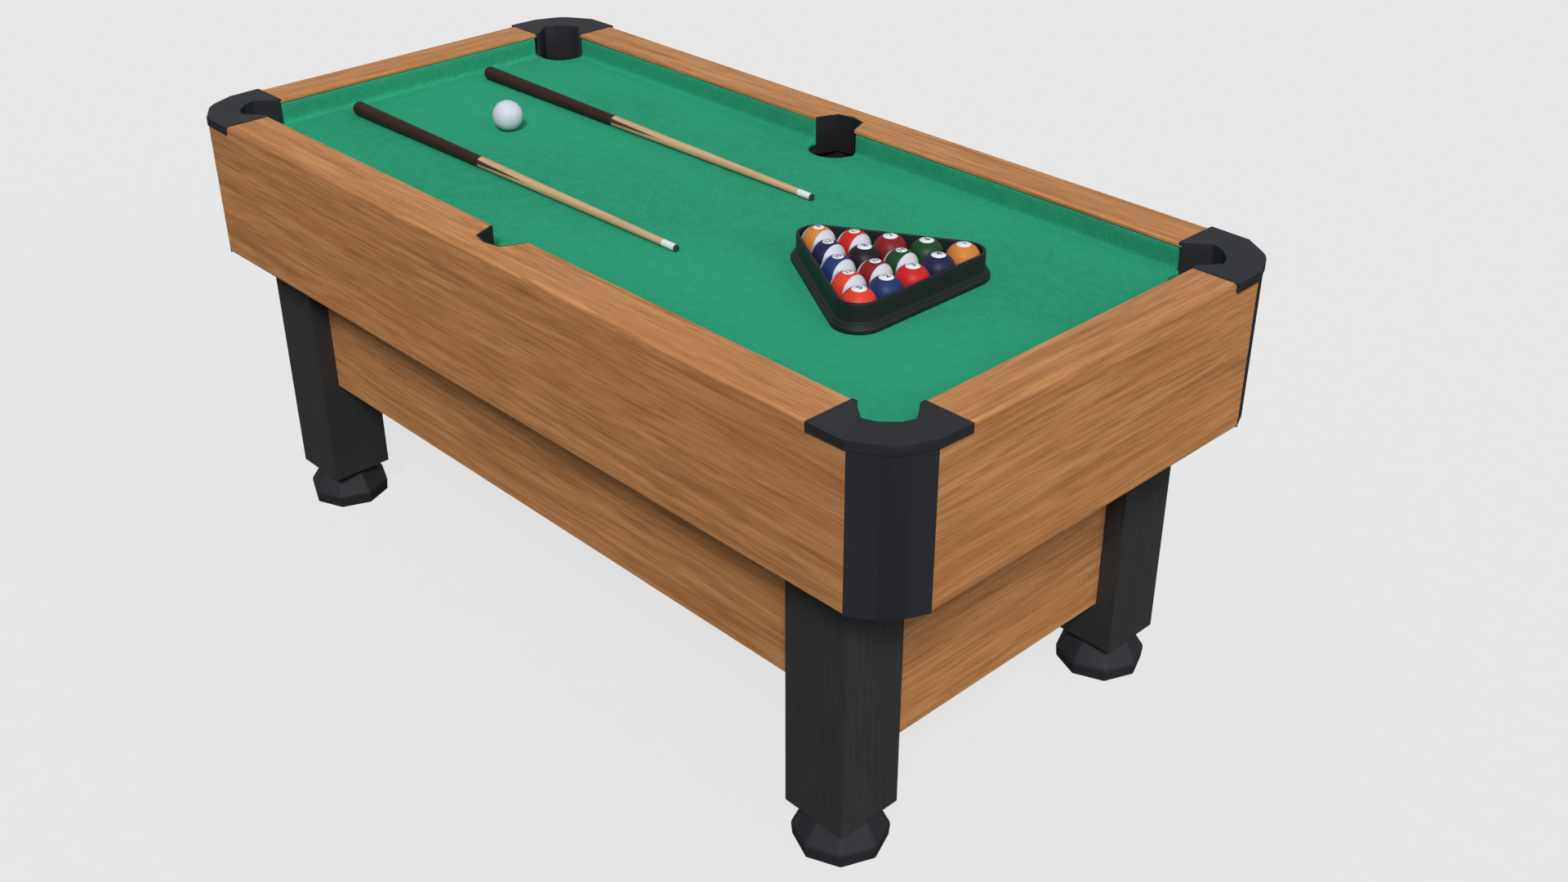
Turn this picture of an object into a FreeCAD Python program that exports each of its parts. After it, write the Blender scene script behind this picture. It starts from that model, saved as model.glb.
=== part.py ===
import FreeCAD, Part
import os
from math import atan, atan2, cos, degrees, radians, sin, sqrt

# Mini pool table, millimetres. Origin: on the floor under the middle of the table.
# +X runs along the length, -Y is the front long side, +Z is up.
# In a corner or beside a long side, u is counted inwards from the end plane and
# v inwards from the side plane of the whole table.

# Driving sizes of the table
LENGTH = 1217.0  # over the corner castings
WIDTH = 607.0
RAIL_TOP = 540.0  # height of the wooden rails
FELT_DROP = 32.0  # from the rails down to the playing surface
APRON_DEPTH = 180.0  # from the rail tops to the apron's lower edge
BOARD = 15.0  # thickness of the panels
BED = 15.0
CLOTH = 1.5
END_NOSE = 56.8  # rail width over an end, u
SIDE_NOSE = 59.2  # rail width over a side, v
END_INSET = 3.0  # wooden end faces sit inside the castings' lips
SIDE_INSET = 2.2
RAIL_BOARD = 18.0
NOSE_BAND = 5.2  # thickness of the rail over the cushion
CUSHION_DEPTH = 21.0
FLOOR_BOARD = 12.0
FLOOR_RISE = 6.0  # cabinet floor above the apron's lower edge
EDGE = 4.0  # rounding of the outer long edges

# Corner castings
EAR = 102.8  # length of each arm of the top plate
PLATE = 3.6
PLATE_PROUD = 1.0
LIP = 9.0
COLUMN_WALL = 3.6
COLUMN_END = (55.6, 62.5)  # where the column ends on a side (u) and on an end (v)
PLATE_BEND = (17.4, 25.2)  # the middle corner between the two facets, u and v
COLUMN_BEND = (18.4, 26.2)
BEND_RADIUS = 45.0  # the two facets run into each other in a soft curve
PLATE_END = 1.6  # the plate's edge beside an end, u
COLUMN_FLANGE = 0.4  # extra thickness of the column's wall beside the panels

# Pockets
POCKET = 31.5  # radius of the fall hole
CORNER_POCKET = 69.2  # its centre, u and v
CORNER_NOTCH = ((98.0, 58.0), (73.0, 39.0), (59.0, 44.5))  # half of the faceted notch, u and v
SIDE_MOUTH = 33.5
SIDE_NOTCH = ((33.5, 0.0), (22.0, 28.4), (0.0, 33.5))  # half of the notch, along x and into the rail
LINER_GROWTH = 1.11  # outside of a corner liner over its inside
SIDE_LINER = (0.92, 0.995)  # inside and outside of a side liner over the notch in the rail
AROUND_LINER = LINER_GROWTH + 0.02  # cut-out in rails and cushions, over the liner's inside
BED_AROUND_LINER = LINER_GROWTH + 0.01
GAP = 0.3
CUP_RADIUS = 34.5
CUP_WALL = 2.4
CUP_DEPTH = 66.0
CUP_FLANGE = 47.5
CUP_SCREWS = 42.6  # radius of the circle of screws

# Legs, skirts and feet
LEG = 81.6
LEG_END_INSET = 88.6  # leg's outer face, u
LEG_SIDE_INSET = 41.7  # leg's outer face, v
LEG_BOTTOM = 47.0
SIDE_SKIRT_SET = 24.0  # skirt face behind the leg's outer face
END_SKIRT_SET = 25.0
SIDE_SKIRT_BOTTOM = 185.0
END_SKIRT_BOTTOM = 105.5
FOOT_RADIUS = 52.5
FOOT_SIDES = 8
FOOT_RIM = 16.5
FOOT_NECK = 32.6
STUD = 6.0
STUD_LENGTH = 42.0
STUD_PLAY = 0.4
STUD_ROOM = 3.0  # depth of the leg's bore past the stud
FOOT_TAPER = 1.5

# Balls, rack and cues
BALL = 19.05
PITCH = 39.0  # between the centres of racked balls
LAY = 0.3  # loose things stand this far over the cloth
APEX = (224.0, -6.7)
CUE_BALL_X = -333.0
CUE_BALL_Y = -7.0
RACK_INSIDE = 20.2  # offsets from the line through the corner balls
RACK_OUTSIDE = 23.7
RACK_STEP = 26.8
RACK_FLANGE = 29.5
RACK_HEIGHT = 30.7
RACK_STEP_HEIGHT = 9.2
RACK_FLANGE_HEIGHT = 5.7
RACK_CORNER_TURN = 120.0  # degrees round each corner
RACK_CORNER_PARTS = 4
CUE_LENGTH = 622.0
CUE_BUTT = 269.0
CUE_SHAFT_END = 600.0
CUE_FERRULE_END = 619.5
CUE_THICK = 9.0  # radius at the butt end
CUE_THIN = 4.0  # radius at the tip
CUE_TURN = 0.97  # degrees
CUE_BUTTS = {"front": (-517.0, -113.0), "back": (-518.5, 93.6)}
CUE_END_ROUND = 5.0
TIP_ROUND = 1.8
# Numbers in the rack, row by row from the apex, each row from the front side to the back
RACK_ORDER = (9, 12, 11, 10, 8, 7, 13, 15, 14, 6, 5, 2, 3, 4, 1)

# Fasteners
SCREW = 2.0
SCREW_HEAD = 4.2
SCREW_CLEARANCE = 0.05
BRACKET = 3.0
BRACKET_LEG = 40.0
BRACKET_WIDTH = 36.0
BRACKET_IN = 21.0  # its middle from the leg's inner face
BRACKET_HOLE_IN = 8.0  # a hole's distance from the bracket's side
BRACKET_HOLE_OUT = 26.0  # and from its bend
HEAD_HEIGHT = 2.2
SLOT = 1.0
POINT = 0.4  # radius of a screw's tip
CUP_SCREW_LENGTH = (9.0, 2.0)  # shank and tip
LEG_SCREW_LENGTH = (18.0, 3.0)
FLOOR_SCREW_LENGTH = (11.0, 2.0)
HOLE_SPARE = 1.0  # a bore is this much deeper than its screw

# Bed supports
SLAB_CORNER = 44.0  # cut off the corners of the bed and the floor
CLOTH_INSET = 1.5
CLEAT = 18.0
LONG_CLEAT_REACH = 430.0
SHORT_CLEAT_REACH = 150.0

HALF_X = LENGTH / 2
HALF_Y = WIDTH / 2
FELT = RAIL_TOP - FELT_DROP
BED_TOP = FELT - CLOTH
BED_UNDER = BED_TOP - BED
APRON_BOTTOM = RAIL_TOP - APRON_DEPTH
APRON_TOP = RAIL_TOP - RAIL_BOARD
FLOOR_UNDER = APRON_BOTTOM + FLOOR_RISE
END_FACE = HALF_X - END_INSET
SIDE_FACE = HALF_Y - SIDE_INSET
NOSE_X = HALF_X - END_NOSE
NOSE_Y = HALF_Y - SIDE_NOSE
PLATE_UNDER = RAIL_TOP + PLATE_PROUD - PLATE
SIDES = {"front": -1, "back": 1}
ENDS = {"left": -1, "right": 1}

UP = FreeCAD.Vector(0, 0, 1)
ORIGIN = FreeCAD.Vector(0, 0, 0)
INWARD = FreeCAD.Vector(0, 1, 0)  # from a bracket into its leg


def box(x0, x1, y0, y1, z0, z1):
    return Part.makeBox(x1 - x0, y1 - y0, z1 - z0, FreeCAD.Vector(x0, y0, z0))


def prism(points, z0, z1):
    corners = [FreeCAD.Vector(x, y, z0) for x, y in points]
    wire = Part.makePolygon(corners + corners[:1])
    return Part.Face(wire).extrude(UP * (z1 - z0))


def cylinder(x, y, z0, z1, radius):
    return Part.makeCylinder(radius, z1 - z0, FreeCAD.Vector(x, y, z0))


def moved_to_side(shape, x_sign, y_sign):
    """Mirrors a shape made in the +X +Y quarter into another quarter."""
    if x_sign < 0:
        shape = shape.mirror(ORIGIN, FreeCAD.Vector(1, 0, 0))
    if y_sign < 0:
        shape = shape.mirror(ORIGIN, FreeCAD.Vector(0, 1, 0))
    return shape


def edges_where(shape, test):
    """Straight edges whose two ends both pass the test."""
    found = []
    for edge in shape.Edges:
        ends = [vertex.Point for vertex in edge.Vertexes]
        if len(ends) == 2 and all(test(end) for end in ends):
            found.append(edge)
    return found


def rounded(shape, radius, test):
    return shape.makeFillet(radius, edges_where(shape, test))


def near(a, b):
    return abs(a - b) < 0.01


def solid(shape):
    """The shape as one clean solid, or a compound when it has several."""
    shape = shape.removeSplitter()
    if len(shape.Solids) == 1:
        return shape.Solids[0]
    return Part.makeCompound(shape.Solids)


def export(name, shape):
    shape.exportStep("parts/" + name + ".step")


def quarter(u, v):
    """A plan point of the +X +Y corner from its distances to the end and side planes."""
    return (HALF_X - u, HALF_Y - v)


def corner_notch(growth, z0, z1):
    """The faceted pocket void of the +X +Y corner, grown about the pocket's centre."""
    outline = list(CORNER_NOTCH) + [(v, u) for u, v in reversed(CORNER_NOTCH)]
    c = CORNER_POCKET
    grown = [(c + (u - c) * growth, c + (v - c) * growth) for u, v in outline]
    return prism([quarter(u, v) for u, v in grown], z0, z1)


def side_notch(growth, z0, z1):
    """The faceted pocket void in the middle of the +Y rail."""
    half = [(x * growth, NOSE_Y + d * growth) for x, d in SIDE_NOTCH]
    outline = half + [(-x, y) for x, y in reversed(half[:-1])]
    front = [(x, NOSE_Y - 1.0) for x in (-half[0][0], half[0][0])]
    return prism(outline + front, z0, z1)


def corner_hole(z0, z1):
    x, y = quarter(CORNER_POCKET, CORNER_POCKET)
    around = corner_notch(BED_AROUND_LINER, z0, z1)
    return cylinder(x, y, z0, z1, POCKET).fuse(around)


def side_hole(z0, z1):
    return cylinder(0, NOSE_Y, z0, z1, SIDE_MOUTH).fuse(side_notch(1.0, z0, z1))


def pocket_holes(z0, z1):
    """All six fall holes."""
    holes = []
    for y_sign in SIDES.values():
        holes.append(moved_to_side(side_hole(z0, z1), 1, y_sign))
        for x_sign in ENDS.values():
            holes.append(moved_to_side(corner_hole(z0, z1), x_sign, y_sign))
    return holes


def rail_side_of_corner(z0, z1):
    """Everything of the +X +Y corner that lies over the rails and not over the play."""
    over_side = box(0, HALF_X, NOSE_Y, HALF_Y, z0, z1)
    over_end = box(NOSE_X, HALF_X, 0, HALF_Y, z0, z1)
    return over_side.fuse(over_end)


def bent_prism(plan, bend, radius, z0, z1):
    """A prism of (u, v) points of the +X +Y corner, with its upright edge at one of them rounded."""
    x, y = quarter(*bend)
    shape = prism([quarter(u, v) for u, v in plan], z0, z1)
    return rounded(shape, radius, lambda p: near(p.x, x) and near(p.y, y))


def casting_column(z0, z1):
    """The bent wall that covers the ends of two aprons, with a short return on each."""
    side_end, end_end = COLUMN_END
    wall = COLUMN_WALL
    thick = wall + COLUMN_FLANGE
    inner_bend = (COLUMN_BEND[0] + wall * 0.75, COLUMN_BEND[1] + wall * 0.8)
    plan = [(side_end, SIDE_INSET), COLUMN_BEND, (END_INSET, end_end)]
    plan += [(END_INSET + BOARD, end_end), (END_INSET + BOARD, end_end - wall)]
    plan += [(END_INSET + thick, end_end - wall), inner_bend]
    plan += [(side_end - wall, SIDE_INSET + thick), (side_end - wall, SIDE_INSET + BOARD)]
    plan += [(side_end, SIDE_INSET + BOARD)]
    column = bent_prism(plan, COLUMN_BEND, BEND_RADIUS, z0, z1)
    x, y = quarter(*inner_bend)
    return rounded(column, BEND_RADIUS - wall, lambda p: near(p.x, x) and near(p.y, y))


def corner_casting():
    """Top plate with its lip, the corner column and the pocket liner, moulded as one."""
    top = RAIL_TOP + PLATE_PROUD
    lip_bottom = RAIL_TOP - LIP
    side_end, end_end = COLUMN_END
    rim = [(EAR, 0.0), (side_end, 1.0), PLATE_BEND, (PLATE_END, end_end), (0.0, EAR)]
    rim += [(END_NOSE, EAR), (END_NOSE, SIDE_NOSE), (EAR, SIDE_NOSE)]
    plate = bent_prism(rim, PLATE_BEND, BEND_RADIUS, PLATE_UNDER, top)
    skin = bent_prism(rim, PLATE_BEND, BEND_RADIUS, lip_bottom, top)
    behind = [(EAR + 1, SIDE_INSET), (side_end, SIDE_INSET), COLUMN_BEND]
    behind += [(END_INSET, end_end), (END_INSET, EAR + 1), (EAR + 1, EAR + 1)]
    lip = skin.cut(bent_prism(behind, COLUMN_BEND, BEND_RADIUS, lip_bottom - 1, top + 1))
    column = casting_column(APRON_BOTTOM, PLATE_UNDER + 0.5)
    liner = corner_notch(LINER_GROWTH, BED_UNDER, PLATE_UNDER + 0.5)
    liner = liner.common(rail_side_of_corner(BED_UNDER, top))
    return solid(plate.fuse([lip, column, liner]).cut(corner_notch(1.0, BED_UNDER - 1, top + 1)))


def apron(sign, along_x):
    """One vertical wooden panel, with its lower outer edge rounded."""
    if along_x:
        reach = HALF_X - COLUMN_END[0]
        shape = box(-reach, reach, SIDE_FACE - BOARD, SIDE_FACE, APRON_BOTTOM, APRON_TOP)
        shape = rounded(shape, EDGE, lambda p: near(p.y, SIDE_FACE) and near(p.z, APRON_BOTTOM))
        return moved_to_side(shape, 1, sign)
    reach = HALF_Y - COLUMN_END[1]
    shape = box(END_FACE - BOARD, END_FACE, -reach, reach, APRON_BOTTOM, APRON_TOP)
    shape = rounded(shape, EDGE, lambda p: near(p.x, END_FACE) and near(p.z, APRON_BOTTOM))
    return moved_to_side(shape, sign, 1)


def rail_section(face, nose, board_inset):
    """Across a rail: a board, a thin band over the cushion and a block down to the cloth."""
    block = face - board_inset
    back = nose + CUSHION_DEPTH
    band = RAIL_TOP - NOSE_BAND
    return [
        (face, APRON_TOP),
        (face, RAIL_TOP),
        (nose, RAIL_TOP),
        (nose, band),
        (back, band),
        (back, FELT),
        (block, FELT),
        (block, APRON_TOP),
    ]


def extruded_along(points, along_x, reach):
    """A section of (across, height) points, run from -reach to reach."""
    if along_x:
        corners = [FreeCAD.Vector(-reach, across, z) for across, z in points]
        run = FreeCAD.Vector(2 * reach, 0, 0)
    else:
        corners = [FreeCAD.Vector(across, -reach, z) for across, z in points]
        run = FreeCAD.Vector(0, 2 * reach, 0)
    return Part.Face(Part.makePolygon(corners + corners[:1])).extrude(run)


def side_rail(sign):
    reach = HALF_X - COLUMN_END[0]
    rail = extruded_along(rail_section(SIDE_FACE, NOSE_Y, BOARD + GAP), True, reach)
    rail = rounded(rail, EDGE, lambda p: near(p.y, SIDE_FACE) and near(p.z, RAIL_TOP))
    rail = rounded(rail, 1.5, lambda p: near(p.y, NOSE_Y) and p.z > RAIL_TOP - NOSE_BAND - 1)
    rail = rail.cut(side_notch(1.0, FELT - 1, RAIL_TOP + 1))
    for x_sign in ENDS.values():
        under_plate = box(HALF_X - EAR, HALF_X, 0, HALF_Y, PLATE_UNDER, RAIL_TOP + 1)
        around = corner_notch(AROUND_LINER, FELT - 1, RAIL_TOP + 1)
        rail = rail.cut([moved_to_side(under_plate, x_sign, 1), moved_to_side(around, x_sign, 1)])
    return solid(moved_to_side(rail, 1, sign))


def end_rail(sign):
    reach = HALF_Y - COLUMN_END[1]
    rail = extruded_along(rail_section(END_FACE, NOSE_X, BOARD + GAP), False, reach)
    rail = rounded(rail, EDGE, lambda p: near(p.x, END_FACE) and near(p.z, RAIL_TOP))
    rail = rounded(rail, 1.5, lambda p: near(p.x, NOSE_X) and p.z > RAIL_TOP - NOSE_BAND - 1)
    for y_sign in SIDES.values():
        under_plate = box(0, HALF_X, HALF_Y - EAR, HALF_Y, PLATE_UNDER, RAIL_TOP + 1)
        around = corner_notch(AROUND_LINER, FELT - 1, RAIL_TOP + 1)
        rail = rail.cut([moved_to_side(under_plate, 1, y_sign), moved_to_side(around, 1, y_sign)])
    return solid(moved_to_side(rail, sign, 1))


def cushion_block(length_from, length_to, nose, along_x):
    """A plain rubber strip under the rail's band, set back a little from its edge."""
    low = FELT
    high = RAIL_TOP - NOSE_BAND
    front = nose + 0.6
    back = nose + CUSHION_DEPTH
    if along_x:
        return box(length_from, length_to, front, back, low, high)
    return box(front, back, length_from, length_to, low, high)


def side_cushions():
    """Two strips on each long side, from the side pocket to the corner pockets."""
    strips = []
    start = SIDE_MOUTH + GAP
    strip = cushion_block(start, HALF_X - EAR, NOSE_Y, True)
    strip = strip.cut(corner_notch(AROUND_LINER, FELT - 1, RAIL_TOP))
    for y_sign in SIDES.values():
        for x_sign in ENDS.values():
            strips.append(moved_to_side(strip, x_sign, y_sign))
    return Part.makeCompound([s for strip in strips for s in strip.Solids])


def end_cushions():
    reach = HALF_Y - EAR
    strip = cushion_block(-reach, reach, NOSE_X, False)
    for y_sign in SIDES.values():
        around = corner_notch(AROUND_LINER, FELT - 1, RAIL_TOP)
        strip = strip.cut(moved_to_side(around, 1, y_sign))
    return Part.makeCompound([moved_to_side(strip, x_sign, 1).Solids[0] for x_sign in ENDS.values()])


def slab(inset, z0, z1):
    """A board inside the aprons with its corners cut clear of the columns."""
    x = END_FACE - BOARD - inset
    y = SIDE_FACE - BOARD - inset
    cut = SLAB_CORNER
    plan = []
    for x_sign, y_sign in ((1, 1), (-1, 1), (-1, -1), (1, -1)):
        pair = [(x_sign * x, y_sign * (y - cut)), (x_sign * (x - cut), y_sign * y)]
        plan += pair if x_sign * y_sign > 0 else pair[::-1]
    return prism(plan, z0, z1)


def bed_board():
    board = slab(GAP, BED_UNDER, BED_TOP).cut(pocket_holes(BED_UNDER - 1, BED_TOP + 1))
    for x, y in pocket_places():
        board = board.cut(cup_screw_holes(x, y))
    return solid(board)


def bed_cloth():
    return solid(slab(CLOTH_INSET, BED_TOP, FELT).cut(pocket_holes(BED_TOP - 1, FELT + 1)))


def side_liner(sign):
    """The moulded wall around a side pocket, from the rail's top to the bed's underside."""
    top = RAIL_TOP - GAP
    inside, outside = SIDE_LINER
    liner = side_notch(outside, BED_UNDER, top).cut(side_notch(inside, BED_UNDER - 1, top + 1))
    liner = liner.common(box(-2 * SIDE_MOUTH, 2 * SIDE_MOUTH, NOSE_Y, HALF_Y, BED_UNDER, top))
    return solid(moved_to_side(liner, 1, sign))


def pocket_places():
    places = []
    for y_sign in SIDES.values():
        places.append((0.0, y_sign * NOSE_Y))
        for x_sign in ENDS.values():
            x, y = quarter(CORNER_POCKET, CORNER_POCKET)
            places.append((x_sign * x, y_sign * y))
    return places


def pocket_cups():
    """Six blind cups screwed under the bed, their flanges trimmed to fit inside the aprons."""
    x1 = END_FACE - BOARD - 1
    y1 = SIDE_FACE - BOARD - 1
    inside_aprons = box(-x1, x1, -y1, y1, 0, RAIL_TOP)
    cups = []
    for x, y in pocket_places():
        top = BED_UNDER
        body = cylinder(x, y, top - CUP_DEPTH, top, CUP_RADIUS + CUP_WALL)
        flange = cylinder(x, y, top - CUP_WALL, top, CUP_FLANGE)
        inside = cylinder(x, y, top - CUP_DEPTH + CUP_WALL, top + 1, CUP_RADIUS)
        cup = body.fuse(flange).cut(inside).common(inside_aprons)
        for hole in cup_screw_holes(x, y):
            cup = cup.cut(hole)
        cups.append(solid(cup))
    return Part.makeCompound(cups)


def cup_screw_spots(x, y):
    y_sign = 1 if y > 0 else -1
    spots = []
    for turn in (0, -90 * y_sign, 180):
        spots.append((x + CUP_SCREWS * cos(radians(turn)), y + CUP_SCREWS * sin(radians(turn))))
    return spots


def cup_screw_holes(x, y):
    low = BED_UNDER - CUP_WALL - 1
    high = BED_UNDER + sum(CUP_SCREW_LENGTH)
    return [cylinder(a, b, low, high, SCREW + SCREW_CLEARANCE) for a, b in cup_screw_spots(x, y)]


def leg_box():
    """Outer box of the +X +Y leg."""
    x = HALF_X - LEG_END_INSET
    y = HALF_Y - LEG_SIDE_INSET
    return x - LEG, x, y - LEG, y


def leg_centre():
    x0, x1, y0, y1 = leg_box()
    return (x0 + x1) / 2, (y0 + y1) / 2


def bracket_screws():
    """Screw places of the +X +Y bracket: into the leg along +Y and into the floor along +Z."""
    x = leg_box()[0] + BRACKET_IN
    y = leg_box()[2]
    across = BRACKET_WIDTH / 2 - BRACKET_HOLE_IN
    low = FLOOR_UNDER - BRACKET_HOLE_OUT
    out = y - BRACKET_HOLE_OUT
    into_leg = [FreeCAD.Vector(x + side, y - BRACKET, low) for side in (-across, across)]
    into_floor = [FreeCAD.Vector(x + side, out, FLOOR_UNDER - BRACKET) for side in (-across, across)]
    return into_leg, into_floor


def screw(head_at, direction, lengths):
    """A pan-head screw whose head starts at head_at and whose shank and tip run along direction."""
    length, grip = lengths
    head = Part.makeCylinder(SCREW_HEAD, HEAD_HEIGHT, head_at - direction * HEAD_HEIGHT, direction)
    shank = Part.makeCylinder(SCREW, length, head_at, direction)
    tip = Part.makeCone(SCREW, POINT, grip, head_at + direction * length, direction)
    slot = Part.makeBox(SCREW_HEAD * 1.3, SLOT, SLOT)
    slot.Placement = FreeCAD.Placement(ORIGIN, FreeCAD.Rotation(UP, direction))
    slot.translate(head_at - direction * HEAD_HEIGHT - slot.CenterOfMass)
    return head.fuse([shank, tip]).cut(slot)


def bore(head_at, direction, lengths):
    """Room for a screw's shank and tip."""
    reach = sum(lengths) + 2 * HOLE_SPARE
    start = head_at - direction * HOLE_SPARE
    return Part.makeCylinder(SCREW + SCREW_CLEARANCE, reach, start, direction)


def leg(x_sign, y_sign):
    x0, x1, y0, y1 = leg_box()
    shape = box(x0, x1, y0, y1, LEG_BOTTOM, FLOOR_UNDER)
    x, y = leg_centre()
    bore_top = LEG_BOTTOM + STUD_LENGTH + STUD_ROOM
    shape = shape.cut(cylinder(x, y, LEG_BOTTOM - 1, bore_top, STUD + STUD_PLAY))
    into_leg, _ = bracket_screws()
    shape = shape.cut([bore(at, INWARD, LEG_SCREW_LENGTH) for at in into_leg])
    return solid(moved_to_side(shape, x_sign, y_sign))


def foot_ring(radius, z):
    turn = 360.0 / FOOT_SIDES
    points = []
    for i in range(FOOT_SIDES + 1):
        points.append(FreeCAD.Vector(radius * cos(radians(turn * i)), radius * sin(radians(turn * i)), z))
    return Part.makePolygon(points)


def leveling_foot(x_sign, y_sign):
    """An eight-sided foot with a sloped shoulder and a stud that screws up into the leg."""
    base = foot_ring(FOOT_RADIUS - FOOT_TAPER, 0)
    widest = foot_ring(FOOT_RADIUS, FOOT_RIM)
    neck = foot_ring(FOOT_NECK, LEG_BOTTOM)
    rim = Part.makeLoft([base, widest], True, True)
    shoulder = Part.makeLoft([widest, neck], True, True)
    stud = cylinder(0, 0, LEG_BOTTOM - 1, LEG_BOTTOM + STUD_LENGTH, STUD)
    foot = rim.fuse([shoulder, stud]).removeSplitter()
    foot.translate(FreeCAD.Vector(*leg_centre(), 0))
    return solid(moved_to_side(foot, x_sign, y_sign))


def side_skirt(sign):
    x0 = leg_box()[0]
    face = leg_box()[3] - SIDE_SKIRT_SET
    shape = box(-x0, x0, face - BOARD, face, SIDE_SKIRT_BOTTOM, FLOOR_UNDER)
    return moved_to_side(shape, 1, sign)


def end_skirt(sign):
    y0 = leg_box()[2]
    face = leg_box()[1] - END_SKIRT_SET
    shape = box(face - BOARD, face, -y0, y0, END_SKIRT_BOTTOM, FLOOR_UNDER)
    return moved_to_side(shape, sign, 1)


def cabinet_floor():
    shape = slab(GAP, FLOOR_UNDER, FLOOR_UNDER + FLOOR_BOARD)
    for y_sign in SIDES.values():
        for x_sign in ENDS.values():
            _, into_floor = bracket_screws()
            holes = [bore(at, UP, FLOOR_SCREW_LENGTH) for at in into_floor]
            shape = shape.cut([moved_to_side(hole, x_sign, y_sign) for hole in holes])
    return solid(shape)


def bed_cleats():
    """Four strips along the aprons that carry the bed, clear of the pocket cups."""
    low = BED_UNDER - CLEAT
    x1 = END_FACE - BOARD
    y1 = SIDE_FACE - BOARD
    long = box(-LONG_CLEAT_REACH, LONG_CLEAT_REACH, y1 - CLEAT, y1, low, BED_UNDER)
    long = long.cut(cylinder(0, NOSE_Y, low - 1, BED_UNDER + 1, CUP_FLANGE + 2))
    short = box(x1 - CLEAT, x1, -SHORT_CLEAT_REACH, SHORT_CLEAT_REACH, low, BED_UNDER)
    cleats = []
    for sign in SIDES.values():
        cleats += moved_to_side(long, 1, sign).Solids
    for sign in ENDS.values():
        cleats += moved_to_side(short, sign, 1).Solids
    return Part.makeCompound(cleats)


def leg_brackets():
    """A steel angle in the corner between each leg and the cabinet floor."""
    x = leg_box()[0] + BRACKET_IN
    y = leg_box()[2]
    half = BRACKET_WIDTH / 2
    brackets = []
    upright = box(x - half, x + half, y - BRACKET, y, FLOOR_UNDER - BRACKET_LEG, FLOOR_UNDER)
    flat = box(x - half, x + half, y - BRACKET_LEG, y, FLOOR_UNDER - BRACKET, FLOOR_UNDER)
    angle = upright.fuse(flat)
    into_leg, into_floor = bracket_screws()
    angle = angle.cut([bore(at, INWARD, FLOOR_SCREW_LENGTH) for at in into_leg])
    angle = solid(angle.cut([bore(at, UP, FLOOR_SCREW_LENGTH) for at in into_floor]))
    for y_sign in SIDES.values():
        for x_sign in ENDS.values():
            brackets += moved_to_side(angle, x_sign, y_sign).Solids
    return Part.makeCompound(brackets)


def screws():
    """Cup screws into the bed, and bracket screws into the legs and the cabinet floor."""
    made = []
    for x, y in pocket_places():
        for a, b in cup_screw_spots(x, y):
            made.append(screw(FreeCAD.Vector(a, b, BED_UNDER - CUP_WALL), UP, CUP_SCREW_LENGTH))
    into_leg, into_floor = bracket_screws()
    corner = [screw(at, INWARD, LEG_SCREW_LENGTH) for at in into_leg]
    corner += [screw(at, UP, FLOOR_SCREW_LENGTH) for at in into_floor]
    for y_sign in SIDES.values():
        for x_sign in ENDS.values():
            made += [moved_to_side(one, x_sign, y_sign) for one in corner]
    return Part.makeCompound([one for shape in made for one in shape.Solids])


def rack_spots():
    """Centres of the fifteen racked balls in plan, row by row from the apex."""
    spots = []
    for row in range(5):
        for place in range(row + 1):
            x = APEX[0] + row * PITCH * sqrt(3) / 2
            y = APEX[1] + (place - row / 2) * PITCH
            spots.append((x, y))
    return spots


def ring_sector(x, y, outer, start, turn, height):
    """Part of a ring round a corner ball, from a start angle through a turn."""
    base = FELT + LAY
    at = FreeCAD.Vector(x, y, base)
    sector = Part.makeCylinder(outer, height, at, UP, turn)
    sector = sector.cut(Part.makeCylinder(RACK_INSIDE, height, at))
    sector.rotate(at, UP, start)
    return sector


def rack():
    """Three straight walls and three corners in short sectors, all with the stepped foot outside."""
    spots = rack_spots()
    corners = [spots[0], spots[10], spots[14]]
    profile = [(RACK_INSIDE, 0), (RACK_FLANGE, 0), (RACK_FLANGE, RACK_FLANGE_HEIGHT)]
    profile += [(RACK_STEP, RACK_FLANGE_HEIGHT), (RACK_STEP, RACK_STEP_HEIGHT)]
    profile += [(RACK_OUTSIDE, RACK_STEP_HEIGHT), (RACK_OUTSIDE, RACK_HEIGHT), (RACK_INSIDE, RACK_HEIGHT)]
    base = FELT + LAY
    pieces = []
    for i in range(3):
        ax, ay = corners[i]
        bx, by = corners[(i + 1) % 3]
        length = sqrt((bx - ax) ** 2 + (by - ay) ** 2)
        nx = (by - ay) / length
        ny = -(bx - ax) / length
        section = [FreeCAD.Vector(ax + nx * d, ay + ny * d, base + z) for d, z in profile]
        face = Part.Face(Part.makePolygon(section + section[:1]))
        pieces.append(face.extrude(FreeCAD.Vector(bx - ax, by - ay, 0)))
        outward = degrees(atan2(ny, nx))
        turn = RACK_CORNER_TURN / RACK_CORNER_PARTS
        steps = [(RACK_STEP, RACK_STEP_HEIGHT), (RACK_FLANGE, RACK_FLANGE_HEIGHT)]
        for part in range(RACK_CORNER_PARTS):
            start = outward - RACK_CORNER_TURN + part * turn
            sector = ring_sector(ax, ay, RACK_OUTSIDE, start, turn, RACK_HEIGHT)
            for radius, height in steps:
                sector = sector.fuse(ring_sector(ax, ay, radius, start, turn, height))
            pieces.append(solid(sector))
    return Part.makeCompound([one for piece in pieces for one in piece.Solids])


def ball(x, y):
    return Part.makeSphere(BALL, FreeCAD.Vector(x, y, FELT + LAY + BALL))


def cue_radius(along):
    return CUE_THICK + (CUE_THIN - CUE_THICK) * along / CUE_LENGTH


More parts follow.
